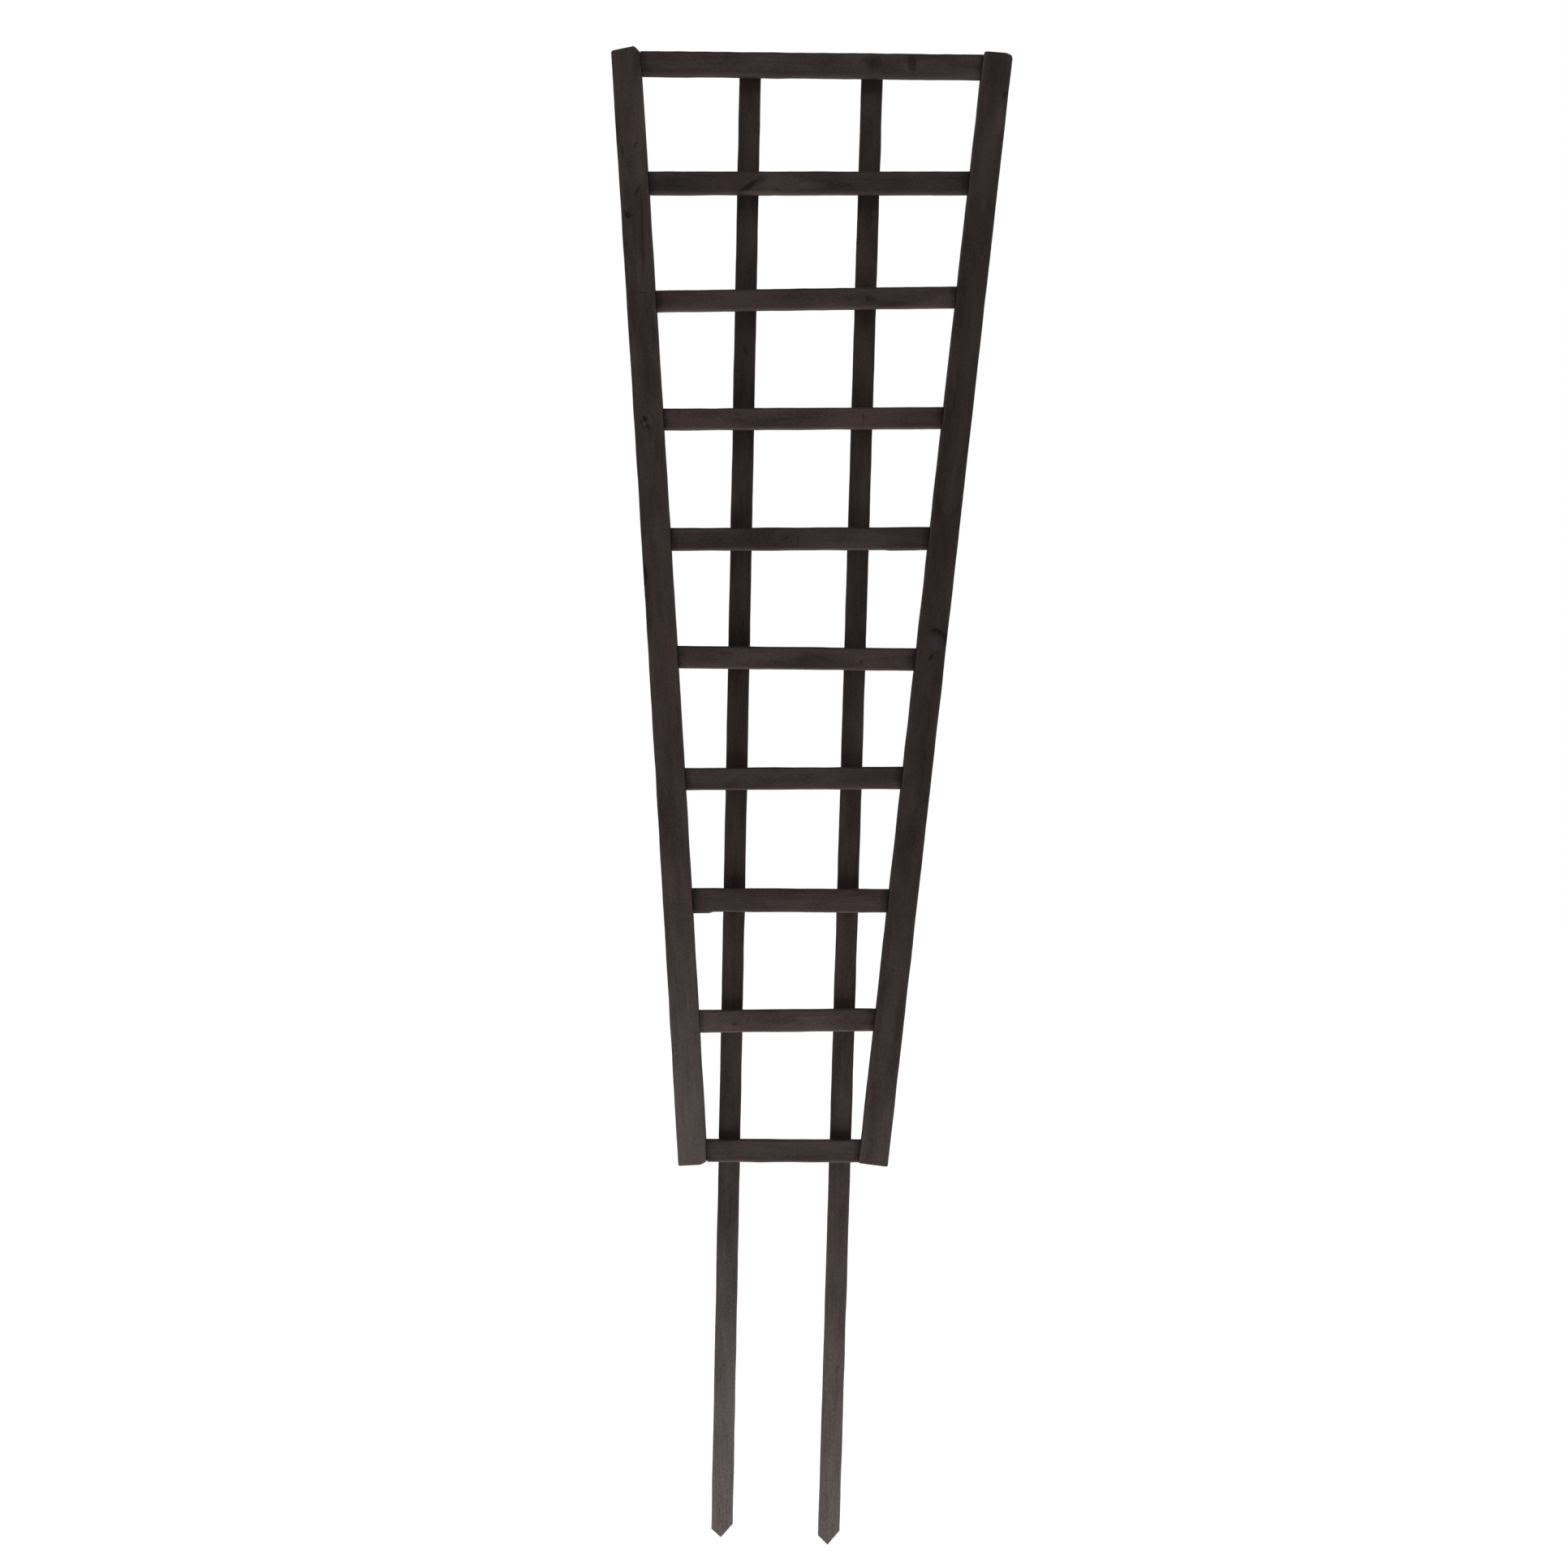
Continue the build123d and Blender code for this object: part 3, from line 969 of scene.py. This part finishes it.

# The marks' places are millimetres along each batten and across its front face. The features were
# picked out on the photo by eye, and a separate program turned the main ones into these
# millimetres. Their sizes, turns, colours and strengths were judged.
stile_looks = {
    "left": Look(
        seed=1,
        shade=1.12,
        pith=(-24, 46),
        warmth=0.6,
        pale_foot=0.34,
        pale_reach=420,
        marks=(
            Mark(1222, -10.6, 6.6, 1.9, DARK, 0.85, turn=-6),
            Mark(1229, 5.4, 4.0, 2.0, RUST, 0.9, turn=20),
            Mark(1172.5, 3.4, 7.0, 2.6, RUST, 0.85, turn=24),
            Mark(1145, -9.4, 5.0, 3.6, SOOT, 0.95, bend=0.7),
            Mark(1145.5, -8.4, 1.5, 7.4, SOOT, 0.8, turn=12),
            Mark(1149, -11.5, 4.6, 1.2, SOOT, 0.7, turn=-30),
            Mark(1125, 7.0, 58, 2.2, DARK, 0.45, turn=2, soft=0.8),
            Mark(1051, 4.5, 0.9, 7.0, DARK, 0.7, turn=8, soft=0.6),
            Mark(1046, 6.0, 6.5, 0.8, DARK, 0.55),
            Mark(894, -2.1, 7.5, 6.5, ASH, 0.45, bend=0.9, soft=0.8),
            Mark(894, -2.3, 7.4, 6.2, DARK, 0.55, rings=1.5, bend=0.4),
            Mark(899.5, -3.6, 4.6, 2.6, SOOT, 0.9, turn=-14),
            Mark(889, 0.4, 5.0, 2.4, SOOT, 0.9, turn=-36),
            Mark(896, -8.0, 2.8, 1.3, SOOT, 0.8),
            Mark(893.5, -4.0, 2.4, 1.7, TAN, 0.8),
            Mark(896, 3.8, 4.6, 1.8, TAN, 0.45),
            Mark(888, 0.6, 1.4, 3.0, RUSSET, 0.6, turn=-20),
            Mark(713, -17.8, 15.5, 6.6, SOOT, 0.95, soft=0.25, bend=0.6),
            Mark(622, 7.5, 13.0, 8.0, RUSSET, 0.5, soft=0.9, bend=0.5),
            # Painted shade on the bevelled top of the stile's right-hand arris
            Mark(1328, 12.8, 22, 6.0, NIGHT, 0.7, soft=0.7),
            Mark(330, 2.0, 40, 5.0, UMBER, 0.35, soft=0.9),
        ),
    ),
    "right": Look(
        seed=2,
        shade=0.845,
        pith=(30, 38),
        warmth=0.7,
        pale_foot=0.12,
        pale_reach=120,
        marks=(
            Mark(1297, 12.9, 6.0, 2.6, SOOT, 0.8, turn=12),
            Mark(1322, 3.0, 27, 16, PLUM, 0.6, soft=0.8),
            Mark(1268, 9.0, 20, 6.0, TAN, 0.35, soft=0.9),
            Mark(640, 7.6, 8.5, 14.0, SOOT, 0.92, turn=38, bend=0.9, soft=0.25),
            Mark(634, 3.6, 10.0, 12.6, ASH, 0.75, turn=38, soft=0.3),
            Mark(632, 2.4, 8.0, 4.4, SLATE, 0.6, soft=0.7),
            Mark(621, -2.6, 2.2, 3.2, RUSSET, 0.6, soft=0.8),
            Mark(614.5, 0.4, 4.2, 2.6, SOOT, 0.85, turn=15, soft=0.5),
            Mark(408, 1.0, 26, 11.0, NIGHT, 0.5, soft=0.9, bend=0.7),
            Mark(252, -10.8, 1.8, 1.1, SOOT, 0.7),
            Mark(235, -3.0, 2.2, 1.2, SOOT, 0.7),
            Mark(75, -14.5, 5.0, 1.2, OCHRE, 0.45),
        ),
    ),
}

slat_looks = {
    "left": Look(
        seed=3,
        # Darker partly as painted shade, for the slat lying behind the rails
        shade=0.73,
        pith=(14, 30),
        warmth=0.5,
        pale_foot=0.35,
        pale_reach=470,
        marks=(
            Mark(1436, 0.4, 8.5, 3.0, DARK, 0.8, turn=-14, bend=0.8),
            Mark(202, -6.1, 3.4, 2.2, UMBER, 0.75, bend=0.5),
            Mark(433, -10.5, 3.0, 1.4, DARK, 0.6),
            Mark(62, -9.0, 66, 1.7, UMBER, 0.6),
            Mark(44, -5.6, 46, 1.2, UMBER, 0.5),
            Mark(1210, 4.0, 20, 3.0, RUSSET, 0.35, soft=0.8),
        ),
    ),
    "right": Look(
        seed=4,
        # Darker partly as painted shade, for the slat lying behind the rails
        shade=0.83,
        pith=(-20, 26),
        warmth=0.6,
        pale_foot=0.28,
        pale_reach=440,
        marks=(
            Mark(216, 5.6, 3.6, 2.4, DARK, 0.75, turn=20, bend=0.5),
            Mark(475, 0.8, 1.2, 1.0, OCHRE, 0.8),
            Mark(820, -3.0, 16, 2.4, DARK, 0.4, soft=0.8),
        ),
    ),
}

rail_marks = {
    1: (
        Mark(283, -2.0, 10.0, 9.5, DARK, 0.85, bend=0.9),
        Mark(273, -6.5, 8.0, 4.0, PLUM, 0.7),
        Mark(328, -3.0, 5.6, 13.0, DARK, 0.9, turn=-12),
        Mark(319.5, 1.0, 1.8, 12.0, TAN, 0.3, turn=-28),
        Mark(300, 2.0, 22, 7.0, UMBER, 0.45, soft=0.9),
    ),
    2: (
        Mark(34, 2.0, 50, 13, NIGHT, 0.62, soft=0.9),
        Mark(122, 4.0, 30, 11, RUSSET, 0.2, soft=0.9, bend=0.95),
        Mark(160, 1.0, 36, 10, TAN, 0.28, soft=0.7, bend=0.5),
        Mark(199, 3.5, 20, 4.2, TAN, 0.42, soft=0.3),
        Mark(225, 4.0, 26, 9, DARK, 0.4, soft=0.9),
        Mark(121, 5.6, 18.5, 3.7, SOOT, 0.93, turn=-36, soft=0.3, bend=0.8),
        Mark(137, -2.4, 8.0, 4.0, DARK, 0.55, turn=-40, soft=0.7),
        Mark(60, -8.5, 34, 1.4, SOOT, 0.5, turn=4),
        Mark(138, 11.8, 26, 2.2, TAN, 0.75, soft=0.5),
        Mark(157, 8.5, 2.6, 4.4, UMBER, 0.6, turn=-60),
    ),
    3: (Mark(259, 2.2, 7.0, 4.0, DARK, 0.7, turn=15, bend=0.8, soft=0.7),),
    4: (Mark(243, 0.2, 1.0, 9.0, DARK, 0.6), Mark(90, 3.0, 15, 3.0, UMBER, 0.4, soft=0.8)),
    5: (
        Mark(143, -1.0, 11.0, 6.5, UMBER, 0.85, rings=1.6, bend=0.95, soft=0.7),
        Mark(155.5, 1.0, 1.2, 9.0, DARK, 0.7, turn=3),
        Mark(285, 12.6, 22, 0.8, OCHRE, 0.7),
    ),
    6: (Mark(223, 3.2, 1.2, 2.6, SOOT, 0.8, turn=50), Mark(60, -5.0, 12, 2.6, UMBER, 0.5, bend=0.6)),
    7: (Mark(205, 2.0, 16, 4.0, UMBER, 0.4, soft=0.9, bend=0.7),),
    8: (Mark(120, -3.0, 20, 3.0, UMBER, 0.35, soft=0.9),),
    9: (Mark(44, 3.0, 5.0, 2.6, DARK, 0.5, bend=0.8, soft=0.7),),
    10: (Mark(150, 6.5, 5.0, 4.0, SLATE, 0.35, soft=0.9),),
}
# Each rail's shade against the plain stain. These began as the output of a separate program that
# fitted lights and shades to the photo's brightness. All but the first and seventh were then
# changed. The stiles' and slats' shades and the high and low lights began the same way.
rail_shades = (1.02, 0.92, 1.27, 1.42, 1.12, 1.33, 1.16, 1.1, 1.24, 0.8)
rail_looks = {
    number: Look(
        seed=4 + number,
        pith=((-1) ** number * (12 + 7 * (number % 3)), 24 + 9 * (number % 4)),
        shade=rail_shades[number - 1],
        warmth=0.35 + 0.1 * (number % 4),
        ends=0.7,
        upper_edge_shade=0.8 if number < 8 else 0.3,
        marks=rail_marks[number],
    )
    for number in RAILS
}


# ---------------------------------------------------------------- building the trellis


def stile_face_cut(rail, side):
    """Where along a rail the line at (x, y) of its section meets a stile's inner face."""
    stile = stiles[side]
    inward = stile.axis(0) * (1 if side == "left" else -1)
    face = stile.matrix.translation + inward * (stile.width / 2 * MM)
    start = rail.matrix.translation
    run = rail.axis(2).dot(inward)
    bowed = bow_at(side, start + rail.axis(2) * (rail.length / 2 * MM))

    def cut(x, y):
        gap = (face - start).dot(inward) / MM - rail.axis(0).dot(inward) * x
        return (gap + bowed) / run

    return cut


for side in SIDES:
    piece = timber(stiles[side], stile_forms[side])
    piece.data.materials.append(timber_material(stiles[side], stile_looks[side]))
    piece = timber(slats[side], slat_forms[side])
    piece.data.materials.append(timber_material(slats[side], slat_looks[side]))

for number, rail in rails.items():
    piece = timber(
        rail, rail_forms[number], stile_face_cut(rail, "left"), stile_face_cut(rail, "right")
    )
    piece.data.materials.append(timber_material(rail, rail_looks[number]))

steel = steel_material()
for side in SIDES:
    for make in (make_nails, make_staples):
        make(side).data.materials.append(steel)


# ---------------------------------------------------------------- studio

EYE_HEIGHT = 0.9194
EYE_OFFSET = -0.0335
EYE_DISTANCE = 3.45
VIEW_ANGLE = 30.56

front_plane = cad_box[0].y
camera_data = bpy.data.cameras.new("camera")
camera_data.sensor_width = 36.0
camera_data.lens = camera_data.sensor_width / 2 / math.tan(math.radians(VIEW_ANGLE / 2))
camera = bpy.data.objects.new("camera", camera_data)
camera.location = (EYE_OFFSET, front_plane - EYE_DISTANCE, EYE_HEIGHT)
camera.rotation_euler = (math.pi / 2, 0, 0)
bpy.context.scene.collection.objects.link(camera)
bpy.context.scene.camera = camera


def soft_light(name, place, aim, width, height, watts):
    data = bpy.data.lights.new(name, "AREA")
    data.shape = "RECTANGLE"
    data.size, data.size_y = width, height
    data.energy = watts
    light = bpy.data.objects.new(name, data)
    light.location = place
    light.rotation_euler = (Vector(aim) - Vector(place)).to_track_quat("-Z", "Y").to_euler()
    bpy.context.scene.collection.objects.link(light)
    light.visible_camera = False
    return light


soft_light("high", (0, -0.55, 2.65), (0, 0, 1.5), 1.2, 0.5, 7.6)
soft_light("low", (0, 0, 0.0006), (0, 0, 1), 1.7, 1.7, 26)
soft_light("behind", (0, 1.5, 2.9), (0, 0, 1.1), 1.6, 0.8, 14)

# The floor glows to the camera like white paper and adds no light to the trellis
floor_size = 30.0
bpy.ops.mesh.primitive_plane_add(size=floor_size)
floor = bpy.context.object
floor.name = "floor"
floor.visible_diffuse = False
floor.visible_glossy = False
floor_material, floor_tree = new_material("pale_floor")
surface(
    floor_tree,
    {
        "Base Color": (0.5, 0.5, 0.5, 1),
        "Roughness": 0.9,
        "Emission Color": (1, 1, 1, 1),
        "Emission Strength": 0.93,
    },
)
floor.data.materials.append(floor_material)

world = bpy.data.worlds.new("studio")
bpy.context.scene.world = world
world.use_nodes = True
world_tree = world.node_tree
world_tree.nodes.clear()
seen = add(world_tree, "ShaderNodeLightPath").outputs["Is Camera Ray"]
strength = ramp(world_tree, seen, 0.0, 1.0, 0.35, 1.0, smooth=False)
white = add(world_tree, "ShaderNodeBackground", {"Color": (1, 1, 1, 1), "Strength": strength})
world_out = add(world_tree, "ShaderNodeOutputWorld")
world_tree.links.new(white.outputs[0], world_out.inputs["Surface"])

bpy.context.scene.view_settings.view_transform = "Standard"
